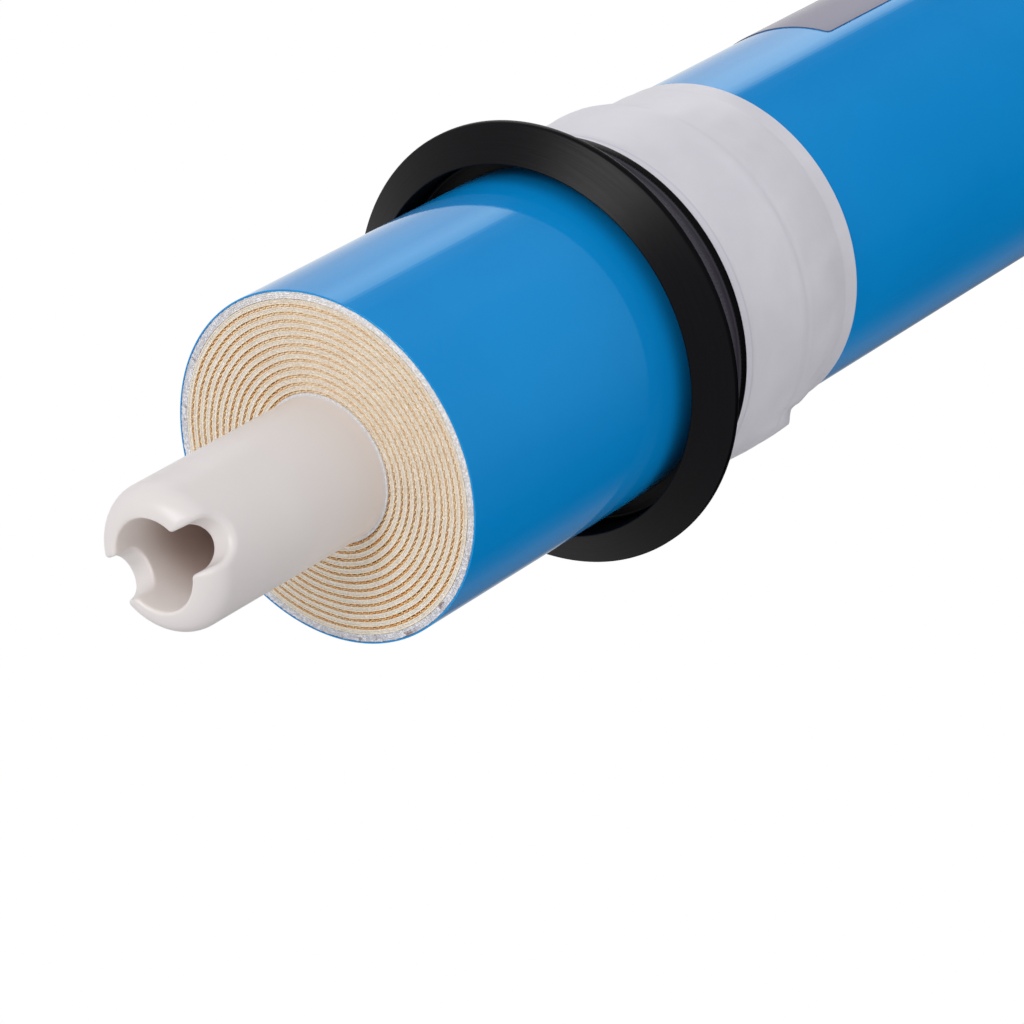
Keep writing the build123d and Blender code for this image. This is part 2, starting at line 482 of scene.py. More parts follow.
def push_out(piece, rule):
    """Moves every point along its radius, by what rule gives for (angle, height, reach)."""
    places = read_points(piece)
    reach = np.hypot(places[:, 0], places[:, 1])
    angle = np.arctan2(places[:, 1], places[:, 0])
    grown = 1.0 + rule(angle, places[:, 2], reach) / reach
    places[:, :2] *= grown[:, None]
    write_points(piece, places)


def bell(value, middle, width):
    """1 at the middle, fading to both sides over this width."""
    return np.exp(-(((value - middle) / width) ** 2))


print("point helpers ready")

# %% [markdown]
# Spare tape has folded into one pleat where the sleeve narrows: a flap that stands off the
# roll, with a firm crease where it meets the sleeve. The hand-wound tape also sits a little
# to one side, with the skirt inside it, and is pulled tight to the roll opposite the pleat.
# Both faces of the tape move by the same rule, which keeps its thickness. Its heights are
# in mm from the skirt's foot and its angles in degrees.

# %% Fold the pleat and crease the tape
PLEAT_HEIGHTS = (-11.5, -10.2, -9.0, -8.0, -6.8, -5.4, -4.0, -1.5, 0.5, 3.5, 7.0)
PLEAT_LIFTS = (0.0, -0.05, 0.20, 0.58, 0.90, 0.98, 0.82, 0.46, 0.32, 0.14, 0.0)
CREASE_HEIGHTS = (-9.5, -7.5, -4.5, -1.5, 1.5)
CREASE_ANGLES = (-171.0, -167.5, -161.0, -156.0, -154.0)
CREASE_RAMP = 4.0
PLEAT_END = -196.0
END_RAMP = 14.0
VALLEY = 0.30
RIPPLE = 0.045
EDGE_ROLL = 0.12
TIGHT_ANGLE = math.radians(8.0)
TIGHT_R = tape_land_r + 0.14 * MM
OFF_CENTRE = 0.16 * MM


def to_one_side(angle, height, reach):
    """How far the skirt and the tape on it sit off the roll's centre."""
    return -OFF_CENTRE * np.cos(angle) * up_the_drape(height)


def tape_folds(angle, height, reach):
    """The pleat, a few soft creases, and the hand-wound unevenness."""
    above = (height - shoulder) / MM
    degrees = np.degrees(angle)
    degrees = np.where(degrees > 0, degrees - 360.0, degrees)
    crease = np.interp(above, CREASE_HEIGHTS, CREASE_ANGLES)
    flap = np.clip((crease - degrees) / CREASE_RAMP, 0, 1)
    flap = flap * np.clip((degrees - PLEAT_END) / END_RAMP, 0, 1)
    lift = np.interp(above, PLEAT_HEIGHTS, PLEAT_LIFTS) * flap * flap * (3.0 - 2.0 * flap)
    valley = -VALLEY * bell(degrees - crease, 1.8, 2.2) * bell(above, -4.5, 4.5)
    slack = np.maximum(drape(up_the_drape(height)) - TIGHT_R, 0) / MM
    slack = slack * np.clip((-0.3 - above) / 1.3, 0, 1)
    off_tight = np.arctan2(np.sin(angle - TIGHT_ANGLE), np.cos(angle - TIGHT_ANGLE))
    tight = slack * bell(off_tight, 0.0, 0.48)
    ripple = RIPPLE * np.sin(9 * angle + 2.1) * np.sin(23 * angle + 300 * height)
    ripple = ripple * bell(above, -4.7, 5.2)
    edge_roll = EDGE_ROLL * bell(above, 0.3, 1.3) * (0.5 + 0.5 * np.cos(angle))
    return (lift + valley - tight + ripple + edge_roll) * MM + to_one_side(angle, height, reach)


def skirt_shift(angle, height, reach):
    """The same step to one side, for the skirt's outer wall alone."""
    on_outside = (reach > root_r + 0.1 * MM) & (height < ridge_foot + SAME_PLACE)
    return np.where(on_outside, to_one_side(angle, height, reach), 0.0)


push_out(white_tape, tape_folds)
push_out(cup_seal, skirt_shift)
smooth_shade(white_tape, 40.0)
settle(white_tape, "white_tape", "seal_tape")

# %% [markdown]
# The permeate tube is one moulding with a soft, domed nose and two notches across its
# rim. Bevelled edges would fail where the notches run into the round bore, so the nose is
# first cut sharp with a Boolean and remeshed into small even faces. The rounding follows
# in the next step.

# %% Cut the notched nose
bore_r = 5.3 * MM
notch_r = 2.5 * MM
notch_z = nose_tip - 4.35 * MM + notch_r
nose_cut = nose_tip - 11.5 * MM
spare_foot = nose_cut - 3 * MM
nose_outline = (
    (bore_r, spare_foot),
    (tube_r, spare_foot),
    (tube_r, nose_tip - 0.5 * MM),
    (bore_r, nose_tip),
)
tube = turned("tube", nose_outline)
flat_turn = (math.radians(90.0), 0, 0)
cutter = add(
    bpy.ops.mesh.primitive_cylinder_add, "cutter", vertices=96, radius=notch_r,
    depth=3 * tube_r, location=(0, 0, notch_z), rotation=flat_turn,
)
open_top = 8 * MM
for vert in cutter.data.vertices:
    if vert.co.z > notch_z + SAME_PLACE:
        vert.co.z += open_top
apply_modifier(tube, "BOOLEAN", object=cutter, operation="DIFFERENCE", solver="EXACT")
bpy.data.objects.remove(cutter)
only(tube)
tube.data.remesh_voxel_size = 0.16 * MM
bpy.ops.object.voxel_remesh()
print("nose remeshed:", len(tube.data.polygons), "faces")

# %% [markdown]
# Every edge of the real nose is round. That form is written as a formula: walls, dome and
# notch are each a signed distance, and rounded() joins two of them with a radius. Each
# point of the fine mesh then moves along the formula's slope until it lies on the form.


# %% Round the nose
DOME_R = 2.6 * MM
BORE_EDGE_R = 0.40 * MM
NOTCH_EDGE_R = 0.30 * MM
CROWN_SLOPE = 0.16
CROWN_START_R = 5.6 * MM
WEAR_START_R = 5.7 * MM
WEAR_RAMP = 1.5 * MM


def rounded(one, other, radius):
    """Where both signed distances are negative, with a radius along their edge."""
    corner = np.hypot(np.maximum(one + radius, 0), np.maximum(other + radius, 0))
    return np.minimum(np.maximum(one, other), -radius) + corner


def nose_form(places):
    """Signed distance to the moulded nose: below zero inside the plastic."""
    x, y, z = places.T
    reach = np.hypot(x, y)
    crown = z - nose_tip + CROWN_SLOPE * np.maximum(reach - CROWN_START_R, 0)
    body = rounded(reach - tube_r, crown, DOME_R)
    body = rounded(body, bore_r - reach, BORE_EDGE_R)
    notch = np.where(z < notch_z, np.hypot(x, z - notch_z), np.abs(x)) - notch_r
    outer = np.clip((reach - WEAR_START_R) / WEAR_RAMP, 0, 1)
    worn = np.where(y < 0, 0.60 * MM, 0.22 * MM)
    return rounded(body, -notch, NOTCH_EDGE_R + worn * outer)


def draw_on(piece, form, above, steps=6, tiny=0.002 * MM):
    """Moves the points above a height on to the zero surface of a form."""
    places = read_points(piece)
    moved = places[:, 2] > above
    points = places[moved]
    for _ in range(steps):
        value = form(points)
        slope = np.empty_like(points)
        for axis, shift in enumerate(np.eye(3) * tiny):
            slope[:, axis] = (form(points + shift) - form(points - shift)) / (2 * tiny)
        points = points - slope * (value / np.maximum((slope**2).sum(axis=1), 0.05))[:, None]
    places[moved] = points
    write_points(piece, places)
    print(f"{moved.sum()} points drawn on, left over {abs(value).max() / MM:.4f} mm")


draw_on(tube, nose_form, nose_cut - 1.5 * MM)

# %% [markdown]
# The rest of the tube is plain, so the fine mesh is cut off flat below the nose. The cut
# leaves two open rims, and their points are set on the exact radii of tube and bore, so
# that the plain walls can start from them.

# %% Cut the nose off flat
rim_middle = (tube_r + bore_r) / 2


def on_rim(place):
    """True for the points of the flat cut."""
    return abs(place.z - nose_cut) < 2 * SAME_PLACE


def on_outer_rim(place):
    """True for the points of the cut that lie on the tube's outside."""
    return on_rim(place) and math.hypot(place.x, place.y) > rim_middle


with editing(tube):
    slice_all((0, 0, nose_cut), (0, 0, 1), clear_inner=True, threshold=0.001 * MM)
rim = [vert for vert in tube.data.vertices if on_rim(vert.co)]
for vert in rim:
    reach = math.hypot(vert.co.x, vert.co.y)
    scale = (tube_r if reach > rim_middle else bore_r) / reach
    vert.co = (vert.co.x * scale, vert.co.y * scale, nose_cut)
print("points on the two rims:", len(rim))

# %% [markdown]
# The two rims are now extruded down like a lathe outline. The outer one runs to the product
# end with its two O-ring grooves and its lead-in chamfer, and comes back up the product
# bore. The inner one ends on the web that closes the nose, so the tube is one closed mesh.

# %% Draw the tube down to its product end
CORD_R = 0.9 * MM
GROOVE_HALF = 1.2 * MM
EDGE = 0.12 * MM
ring_names = {"o_ring_inner": "inner_o_ring", "o_ring_outer": "outer_o_ring"}
groove_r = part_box("o_ring_outer")[1].x - 2 * CORD_R
groove_half_outline = (
    (tube_r, GROOVE_HALF + EDGE),
    (tube_r - EDGE, GROOVE_HALF),
    (groove_r + EDGE, GROOVE_HALF),
    (groove_r, GROOVE_HALF - EDGE),
)
spigot = [(tube_r, nose_cut), (tube_r, roll_face - 1 * MM), (tube_r, roll_foot + 1 * MM)]
for node in ring_names:
    low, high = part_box(node)
    middle = (low.z + high.z) / 2
    spigot += [(radius, middle + rise) for radius, rise in groove_half_outline]
    spigot += [(radius, middle - rise) for radius, rise in reversed(groove_half_outline)]
spigot += [
    (tube_r, 0.62 * MM),
    (tube_r - 0.08 * MM, 0.44 * MM),
    (tube_r - 0.46 * MM, 0.06 * MM),
    (tube_r - 0.60 * MM, 0.0),
    (bore_r + 0.25 * MM, 0.0),
    (bore_r + 0.07 * MM, 0.07 * MM),
    (bore_r, 0.25 * MM),
    (bore_r, nose_tip - 26 * MM),
]
web = nose_tip - 22 * MM
nose_bore = [(bore_r, nose_cut), (bore_r, web + 0.3 * MM), (bore_r - 0.3 * MM, web)]
with editing(tube):
    pick_edges(tube, on_outer_rim)
    extrude_along(spigot)
    bpy.ops.mesh.edge_face_add()
    pick_edges(tube, lambda place: on_rim(place) and not on_outer_rim(place))
    extrude_along(nose_bore)
    bpy.ops.mesh.edge_face_add()
    bpy.ops.mesh.select_all(action="SELECT")
    bpy.ops.mesh.normals_make_consistent(inside=False)
smooth_shade(tube, 40.0)
settle(tube, "tube_plastic", "permeate_tube")

# %% [markdown]
# The O-rings are moulded in two halves, and a fine line of flash runs round where the
# halves met. A torus primitive has no such line, so the round section is turned like the
# other rings, with one corner of the section pulled out a little.

# %% Turn the O-rings
CORD_CORNERS = 24
FLASH = 1.03
for node, name in ring_names.items():
    low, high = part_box(node)
    centre_r = high.x - FLASH * CORD_R
    middle = (low.z + high.z) / 2
    section = []
    for corner in range(CORD_CORNERS):
        turned_by = 2 * math.pi * corner / CORD_CORNERS
        cord = CORD_R * (FLASH if corner == 0 else 1.0)
        rise = cord * math.sin(turned_by)
        section.append((centre_r + cord * math.cos(turned_by), middle + rise))
    o_ring = turned(name, section, 128)
    smooth_shade(o_ring, 60.0)
    settle(o_ring, "o_ring_rubber", node)

# %% [markdown]
# The label is a sheet of film with slightly rounded corners, stuck on the roll. A flat
# plane is bevelled at its four corners, cut into strips so that it can bend, wrapped round
# the roll by its own width, and last given its thickness.

# %% Cut and wrap the label
LABEL_WIDTH = 45.0 * MM
LABEL_T = 0.10 * MM
LABEL_START = math.radians(-34.6)
LABEL_STRIPS = 72
label_low, label_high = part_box("label")
label_length = label_high.z - label_low.z
label_middle = (LABEL_WIDTH / 2, 0, (label_high.z + label_low.z) / 2)
label_inner_r = roll_r + GAP
paper_label = add(
    bpy.ops.mesh.primitive_plane_add, "plain_label", (LABEL_WIDTH, label_length, 1),
    size=1.0, location=label_middle, rotation=flat_turn,
)
with editing(paper_label):
    bpy.ops.mesh.bevel(offset=0.6 * MM, segments=4, affect="VERTICES")
    for strip in range(1, LABEL_STRIPS):
        place = (LABEL_WIDTH * strip / LABEL_STRIPS, 0, 0)
        slice_all(place, (1, 0, 0), threshold=0.001 * MM)
for vert in paper_label.data.vertices:
    angle = LABEL_START + vert.co.x / label_inner_r
    vert.co = (label_inner_r * math.cos(angle), label_inner_r * math.sin(angle), vert.co.z)
with editing(paper_label):
    bpy.ops.mesh.normals_make_consistent(inside=False)
face = paper_label.data.polygons[0]
faces_out = face.normal.x * face.center.x + face.normal.y * face.center.y > 0
apply_modifier(paper_label, "SOLIDIFY", thickness=LABEL_T, offset=1.0 if faces_out else -1.0)
smooth_shade(paper_label, 40.0)
settle(paper_label, "label_film", "label")

# %% [markdown]
# The face of the roll shows one leaf and one net, wound together twelve times. Each turn
# keeps its distance for most of the way round and then climbs on to the turn below. Both
# are modelled as a short flat piece a thousand times the real size, because the cutting
# tools work to fixed distances, repeated by an Array, and then wound up. The winding rule
# is the CAD model's own: how far along the strip gives the angle, and the angle the radius.

# %% Write down the winding
PITCH = 0.90
TURNS = 12
CLIMB_ANGLE = 48.0
CLIMB_END = 119.0
LEVEL_ANGLE = 360.0 - CLIMB_ANGLE
WOUND_ANGLE = TURNS * 360.0 - CLIMB_ANGLE
NET_START_R = 8.84
NET_T = 0.32
LEAF_START_R = 9.18
LEAF_T = 0.54
winding_angle = np.arange(0.0, WOUND_ANGLE + 1.0, 1.0)


def climb(angle):
    """How many turns' thickness the strip has climbed after this many degrees."""
    whole = np.floor(angle / 360.0)
    return whole + np.clip((angle - 360.0 * whole - LEVEL_ANGLE) / CLIMB_ANGLE, 0, 1)


def strip_length(start_r):
    """Distance along the strip at every whole degree of the winding, in mm."""
    radius = start_r + PITCH * climb(winding_angle)
    return np.concatenate(([0.0], np.cumsum(radius[:-1] * math.radians(1.0))))


leaf_length = strip_length(LEAF_START_R)[-1]
print(f"the leaf is {leaf_length:.0f} mm long before it is wound")

# %% [markdown]
# Every point of a flat strip is then moved by that rule. A hand-fed roll is never a perfect
# spiral: near the face the turns wander a little, the cut edge is ragged, and where the
# knife came out it has pressed the net flat. Slow sine waves give all of it without any
# random draw, so the roll comes out the same each time.

# %% Wind a strip by the rule
WANDER = 0.05
WANDER_DEPTH = 4.0
RAGGED_DEPTH = 0.6
PRESSED_DEPTH = 0.45
FIRST_R = 8.9
LAST_R = 19.6
SMEAR_ANGLE = math.radians(-60.0)


def smooth_noise(x, y, seed):
    """A few long sine waves that never repeat together, between about -1 and 1."""
    first = np.sin(1.00 * x + 0.63 * y + seed) + np.sin(0.37 * x - 1.13 * y + 2.7 * seed)
    return 0.5 * first * np.cos(0.29 * y - 0.51 * x + 1.9 * seed)


def smeared(turned_by, x, y):
    """1 on the side where the knife came out and pressed the cut net flat."""
    towards = np.cos(turned_by - SMEAR_ANGLE) + 0.25 * smooth_noise(0.4 * x, 0.4 * y, 3.0)
    return np.clip((towards - 0.15) / 0.6, 0, 1)


def wind(piece, start_r, ragged, smear=0.0):
    """Winds a flat strip, X along it, Y its thickness, Z 0 at the face, and scales it."""
    along, across, height = read_points(piece).T
    angle = np.interp(along, strip_length(start_r), winding_angle)
    radius = start_r + PITCH * climb(angle) + across
    turned_by = np.radians(CLIMB_END + angle)
    x, y = radius * np.cos(turned_by), radius * np.sin(turned_by)
    near_face = np.clip(1.0 + height / WANDER_DEPTH, 0, 1)
    loose = np.clip((radius - FIRST_R) / 2.0, 0, 1) * np.clip((LAST_R - radius) / 2.0, 0, 1)
    wander = WANDER * loose * near_face
    x = x + wander * smooth_noise(0.9 * x, 0.9 * y, 1.3)
    y = y + wander * smooth_noise(0.9 * y, 0.9 * x, 4.1)
    cut = smooth_noise(1.9 * along, 0.11 * along, start_r)
    cut = cut + smooth_noise(0.23 * along, along, 2.0)
    below = np.clip(-height / PRESSED_DEPTH, 0, 1) * near_face
    height = height + ragged * cut * np.clip(1.0 + height / RAGGED_DEPTH, 0, 1)
    height = height + smear * smeared(turned_by, x, y) * below
    write_points(piece, np.stack((x * MM, y * MM, roll_face + height * MM), axis=1))


print("ready to wind")

# %% [markdown]
# The leaf is one glued envelope: two cream membrane sheets with white knitted cloth
# between them. Its short piece is a plate, cut in three along its thickness. The middle is
# pushed down and its floor raised into the small knots of the cut cloth. The walls where
# one copy meets the next are deleted, so that the Array can merge them into one strip.


# %% Model a short piece of the leaf
def pick_faces(piece, wanted):
    """In edit mode, selects the faces whose centre and normal satisfy wanted."""
    bpy.ops.mesh.select_mode(type="FACE")
    bpy.ops.mesh.select_all(action="DESELECT")
    shape = bmesh.from_edit_mesh(piece.data)
    for face in shape.faces:
        if wanted(face.calc_center_median(), face.normal):
            face.select_set(True)
    bmesh.update_edit_mesh(piece.data)


def flat_piece(name, length, thickness, height):
    """A plate that starts at X = 0 and Y = 0 and hangs down from Z = 0."""
    size = (length, thickness, height)
    middle = (length / 2, thickness / 2, -height / 2)
    return add(bpy.ops.mesh.primitive_cube_add, name, size, size=1.0, location=middle)


def open_ends(piece, length):
    """In edit mode, deletes the two walls where one copy meets the next."""
    pick_faces(piece, lambda place, normal: place.x < 1e-4 or place.x > length - 1e-4)
    bpy.ops.mesh.delete(type="FACE")


CELL = 0.90
SHEET_T = 0.12
CLOTH_SUNK = 0.10
KNOT_RISE = 0.12
ROLL_LENGTH = (roll_face - roll_foot) / MM
leaf = flat_piece("wound_leaf", CELL, LEAF_T, ROLL_LENGTH)
with editing(leaf):
    slice_all((0, SHEET_T, 0), (0, 1, 0))
    slice_all((0, LEAF_T - SHEET_T, 0), (0, 1, 0))
    slice_all((CELL / 2, 0, 0), (1, 0, 0))
    pick_faces(leaf, lambda place, normal: normal.z > 0.9 and SHEET_T < place.y < LEAF_T - SHEET_T)
    bpy.ops.mesh.extrude_region_move(TRANSFORM_OT_translate={"value": (0, 0, -CLOTH_SUNK)})
    open_ends(leaf, CELL)
    pick_faces(leaf, lambda place, normal: normal.z > 0.9 and place.z < -CLOTH_SUNK / 2)
    bpy.ops.mesh.subdivide(number_cuts=1)
for vert in leaf.data.vertices:
    on_floor = abs(vert.co.y - LEAF_T / 2) < 0.01 and abs(vert.co.z + CLOTH_SUNK) < 0.01
    from_middle = abs(vert.co.x - CELL / 2)
    if on_floor and abs(from_middle - CELL / 4) < 0.01:
        vert.co.z += KNOT_RISE
print("one piece of the leaf:", len(leaf.data.polygons), "faces")

# %% [markdown]
# An Array repeats the short piece with merged joints, the two open ends are closed, and
# the strip is stretched by less than one piece to its exact length before it is wound.


# %% Repeat and wind the leaf
def repeat(piece, count, length, close=True):
    """Repeats a short piece along X, closes the strip's ends and fits its length."""
    apply_modifier(
        piece, "ARRAY", count=count, use_relative_offset=False, use_constant_offset=True,
        constant_offset_displace=(CELL, 0, 0), use_merge_vertices=True, merge_threshold=0.002,
    )
    with editing(piece):
        for end in (0.0, count * CELL) if close else ():
            pick_edges(piece, lambda place: abs(place.x - end) < 0.001)
            bpy.ops.mesh.edge_face_add()
        bpy.ops.mesh.select_all(action="SELECT")
        stretch = length / (count * CELL)
        bpy.ops.transform.resize(value=(stretch, 1, 1), center_override=(0, 0, 0))


repeat(leaf, int(leaf_length / CELL), leaf_length)
for name in ("cream_sheet", "knitted_cloth"):
    leaf.data.materials.append(bpy.data.materials.new(name))
for face in leaf.data.polygons:
    in_cloth = SHEET_T + 0.01 < face.center.y < LEAF_T - SHEET_T - 0.01
    face.material_index = int(in_cloth and face.center.z > -1)
wind(leaf, LEAF_START_R, 0.035)
smooth_shade(leaf, 60.0)
settle(leaf, "leaf_sheet", "membrane_leaf")

# %% [markdown]
# The net is two layers of crossing strands. Only the last millimetre can be seen between
# the sheets, so the strands stand in two leaning rows on a band that fills the channel
# below them, where nothing can be seen. Each strand is a six-sided rod, turned by a third
# of a right angle and cut off flat at the face as a blade would leave it.


# %% Model a short piece of the net
STRAND_R = 0.088
STRAND_GAP = 0.005
STRAND_LEAN = 33.0
BAND_TOP = 0.5


def strand(across, lean):
    """One leaning rod of the net, cut off level with the face of the roll."""
    rod = add(
        bpy.ops.mesh.primitive_cylinder_add, "rod", vertices=6, radius=STRAND_R, depth=4.0,
        location=(CELL / 2, across, -0.5), rotation=(0, math.radians(lean), 0),
    )
    with editing(rod):
        slice_all((0, 0, 0), (0, 0, 1), clear_outer=True, use_fill=True)
        slice_all((0, 0, -BAND_TOP - 0.05), (0, 0, -1), clear_outer=True, use_fill=True)
    return rod


net_length = strip_length(NET_START_R)[-1]
net_cells = int(net_length / CELL)
net = flat_piece("feed_net", CELL, NET_T, ROLL_LENGTH - BAND_TOP)
for vert in net.data.vertices:
    vert.co.z -= BAND_TOP
with editing(net):
    open_ends(net, CELL)
repeat(net, net_cells, net_length)
for name in ("net_strand", "net_shade"):
    net.data.materials.append(bpy.data.materials.new(name))
for face in net.data.polygons:
    face.material_index = 1
rods = strand(STRAND_R + STRAND_GAP, STRAND_LEAN)
crossing = strand(NET_T - STRAND_R - STRAND_GAP, -STRAND_LEAN)
only(rods)
crossing.select_set(True)
bpy.ops.object.join()
rods.data.materials.append(net.data.materials[0])
repeat(rods, net_cells - 2, net_length - 2 * CELL, close=False)
for vert in rods.data.vertices:
    vert.co.x += CELL
only(net)
rods.select_set(True)
bpy.ops.object.join()
wind(net, NET_START_R, 0.03, 0.30)
smooth_shade(net, 50.0)
settle(net, "spacer_net", "feed_spacer")

# %% [markdown]
# Round the leaf lie the last turns of cloth, set in glue. The ring is turned with several
# rings across its cut edge, alternately high and low like the edges of the cloth layers.
# Its inner side steps in behind the last turn of the leaf, and the cut edge is frayed.

# %% Model the ring of cloth
WRAP_INNER_R = 19.64
WRAP_OUTER_R = 20.54
WRAP_LAYERS = 8
CLIMB_START = CLIMB_END - CLIMB_ANGLE
layer_tops = {0: -0.10 * MM, 1: 0.02 * MM}
rim_top_z = roll_face - 0.05 * MM
cloth_outline = [(WRAP_INNER_R * MM, roll_foot), (WRAP_INNER_R * MM, rim_top_z)]
for layer in range(1, WRAP_LAYERS):
    radius = WRAP_INNER_R + (WRAP_OUTER_R - WRAP_INNER_R) * layer / WRAP_LAYERS
    cloth_outline.append((radius * MM, roll_face + layer_tops[layer % 2]))
cloth_outline += [(WRAP_OUTER_R * MM, rim_top_z), (WRAP_OUTER_R * MM, roll_foot)]
cloth_ring = turned("cloth_ring", cloth_outline, 768)


def step_in(angle, height, reach):
    """Fills the wedge behind the end of the leaf, where the last turn climbs."""
    degrees = np.degrees(angle)
    wedge = PITCH * (1.0 - (degrees - CLIMB_START) / CLIMB_ANGLE)
    in_sector = (degrees > CLIMB_START) & (degrees < CLIMB_END)
    share = (WRAP_OUTER_R - reach / MM) / (WRAP_OUTER_R - WRAP_INNER_R)
    return np.where(in_sector, -wedge * share * MM, 0.0)


push_out(cloth_ring, step_in)
for vert in cloth_ring.data.vertices:
    if vert.co.z > roll_face - 0.5 * MM:
        place = Vector((vert.co.x, vert.co.y, 0)) / MM
        fray = 0.10 * noise.noise(2.6 * place) + 0.05 * noise.noise(6.1 * place)
        vert.co.z += fray * MM
smooth_shade(cloth_ring, 70.0)
settle(cloth_ring, "wrap_cloth", "fabric_wrap")

# %% [markdown]
# Now the finishes. Each material reads the object's own coordinates, in metres, so a
# pattern keeps its real size on every piece. First come the helpers: a noise at a size in
# millimetres, a bump from a height, a smooth step, and the place seen from the tube's axis.


# %% Helpers for the finishes
def grain(root, size, detail=2.0, place=None):
    """Noise whose patches are about size millimetres across."""
    if place is None:
        place = root.node("ShaderNodeTexCoord", output="Object")
    inputs = {"Vector": place, "Scale": 1.0 / (size * MM), "Detail": detail}
    return root.node("ShaderNodeTexNoise", {"normalize": True}, inputs)


def bump(root, height, depth, strength=1.0):
    """A normal that is pressed by height, depth millimetres deep."""
    inputs = {"Height": height, "Distance": depth * MM, "Strength": strength}
    return root.node("ShaderNodeBump", None, inputs)


def band(value, low, high):
    """0 below low, 1 above high and a smooth step between them."""
    inputs = {0: value, 1: low, 2: high, 3: 0.0, 4: 1.0}
    return value.node("ShaderNodeMapRange", {"interpolation_type": "SMOOTHSTEP"}, inputs)


def round_place(root):
    """The place seen from the axis: distance from it, distance round it, and height."""
    place = root.node("ShaderNodeTexCoord", output="Object")
    split = root.node("ShaderNodeSeparateXYZ", None, {0: place})
    x, y, z = (Socket(root.tree, split.output.node.outputs[axis]) for axis in range(3))
    reach = x.math("SQRT", x * x + y * y)
    return reach, y.math("ARCTAN2", y, x), z


def dress(piece, *materials):
    """Gives a piece its materials in place of what its slots held."""
    for index, material in enumerate(materials):
        if index < len(piece.data.materials):
            piece.data.materials[index] = material
        else:
            piece.data.materials.append(material)
    print(f"{piece.name} wears", ", ".join(material.name for material in materials))


print("finish helpers ready")

# %% [markdown]
# The tube is warm white moulded plastic with a satin skin. Such a skin is never quite
# even: the colour drifts a little and the gloss has soft patches, but no grain shows.
# The wall of the bore is painted paler and warmer, a painted glow of light, and deeper inside
# the bore the plastic is painted browner, as painted shade.

# %% Finish the tube
tube_plastic, root, shader = new_material("tube_plastic")
drift = band(grain(root, 14.0), 0.35, 0.65)
patches = band(grain(root, 4.0), 0.3, 0.7)
reach, _, height = round_place(root)
in_bore = 1.0 - band(reach, bore_r - 0.1 * MM, bore_r + 0.5 * MM)
# Painted shade: the bore is painted browner from 3.5 mm below the tip to 11 mm down.
painted_bore_shade = in_bore * (1.0 - band(height, nose_tip - 11 * MM, nose_tip - 3.5 * MM))
skin = drift.mix((0.785, 0.738, 0.730), (0.805, 0.758, 0.750))
# Painted light: the bore's wall is painted paler and warmer, and deeper down the painted shade
# takes over.
skin = (in_bore * 0.8).mix(skin, (0.93, 0.86, 0.82))
finish_with(
    shader,
    Base_Color=painted_bore_shade.mix(skin, (0.56, 0.43, 0.385)),
    Roughness=patches * 0.06 + 0.31,
    Specular_IOR_Level=0.26,
    Normal=bump(root, grain(root, 0.9), 0.004),
)
dress(tube, tube_plastic)

# %% [markdown]
# The film is saturated blue tape under a clear gloss. Its reflections lose some red, so
# the specular tint is blue-green. Very shallow waves stop the reflection from looking
# like glass.

# %% Finish the blue film
film_blue, root, shader = new_material("film_blue")
drift = band(grain(root, 20.0), 0.35, 0.65)
_, round_it, height = round_place(root)
stretched = root.node("ShaderNodeCombineXYZ", None, {0: round_it * 0.02, 2: height * 0.12})
finish_with(
    shader,
    Base_Color=drift.mix((0.003, 0.273, 0.705), (0.003, 0.286, 0.730)),
    Roughness=grain(root, 3.0) * 0.03 + 0.05,
    Specular_Tint=(0.40, 1.0, 1.0, 1.0),
    Normal=bump(root, grain(root, 2.0, 1.0, stretched), 0.004),
)
dress(blue_film, film_blue)

# %% [markdown]
# The seal is black rubber from a turned mould, which leaves fine rings in the skin. The
# grain is a noise that is read by distance from the axis and height, and hardly at all
# by the angle, so it runs round the seal. Behind the lip the groove is painted a light
# grey-violet: a painted sheen in place of the reflection there.

# %% Finish the rubber
seal_rubber, root, shader = new_material("seal_rubber")
reach, round_it, height = round_place(root)
ringed = root.node("ShaderNodeCombineXYZ", None, {0: reach, 1: round_it * 0.0007, 2: height})
rings = grain(root, 0.22, 3.0, ringed)
dust = band(grain(root, 0.5, 4.0), 0.55, 0.8)
skin = (dust * 0.5 + rings * 0.5).mix((0.0012, 0.0010, 0.0018), (0.0045, 0.0040, 0.0056))
in_groove = band(height, groove_foot - 0.30 * MM, groove_foot + 0.05 * MM)
in_groove = in_groove - band(height, root_top + 0.2 * MM, root_top + 1.2 * MM)
below_ridge_reach = 1.0 - band(reach, ridge_r + 0.5 * MM, ridge_r + 1.2 * MM)
# Painted sheen: the groove behind the lip is painted light grey-violet in place of its reflection.
painted_light_mask = in_groove * (0.8 + rings * 0.3) * below_ridge_reach
finish_with(
    shader,
    Base_Color=painted_light_mask.mix(skin, (0.105, 0.098, 0.122)),
    Roughness=rings * 0.16 + 0.24,
    Specular_IOR_Level=0.08,
    Normal=bump(root, rings, 0.014),
)
dress(cup_seal, seal_rubber)

# %% [markdown]
# The O-rings come from a polished mould, so they are smoother and glossier than the seal.
# They are too small for a turned grain to show: a little dust in the tone is enough.

# %% Finish the O-rings
ring_rubber, root, shader = new_material("ring_rubber")
dust = band(grain(root, 0.6, 4.0), 0.5, 0.8)
finish_with(
    shader,
    Base_Color=dust.mix((0.010, 0.010, 0.011), (0.019, 0.019, 0.021)),
    Roughness=dust * 0.15 + 0.32,
    Normal=bump(root, grain(root, 0.25), 0.004),
)
for name in ring_names.values():
    dress(bpy.data.objects[name], ring_rubber)
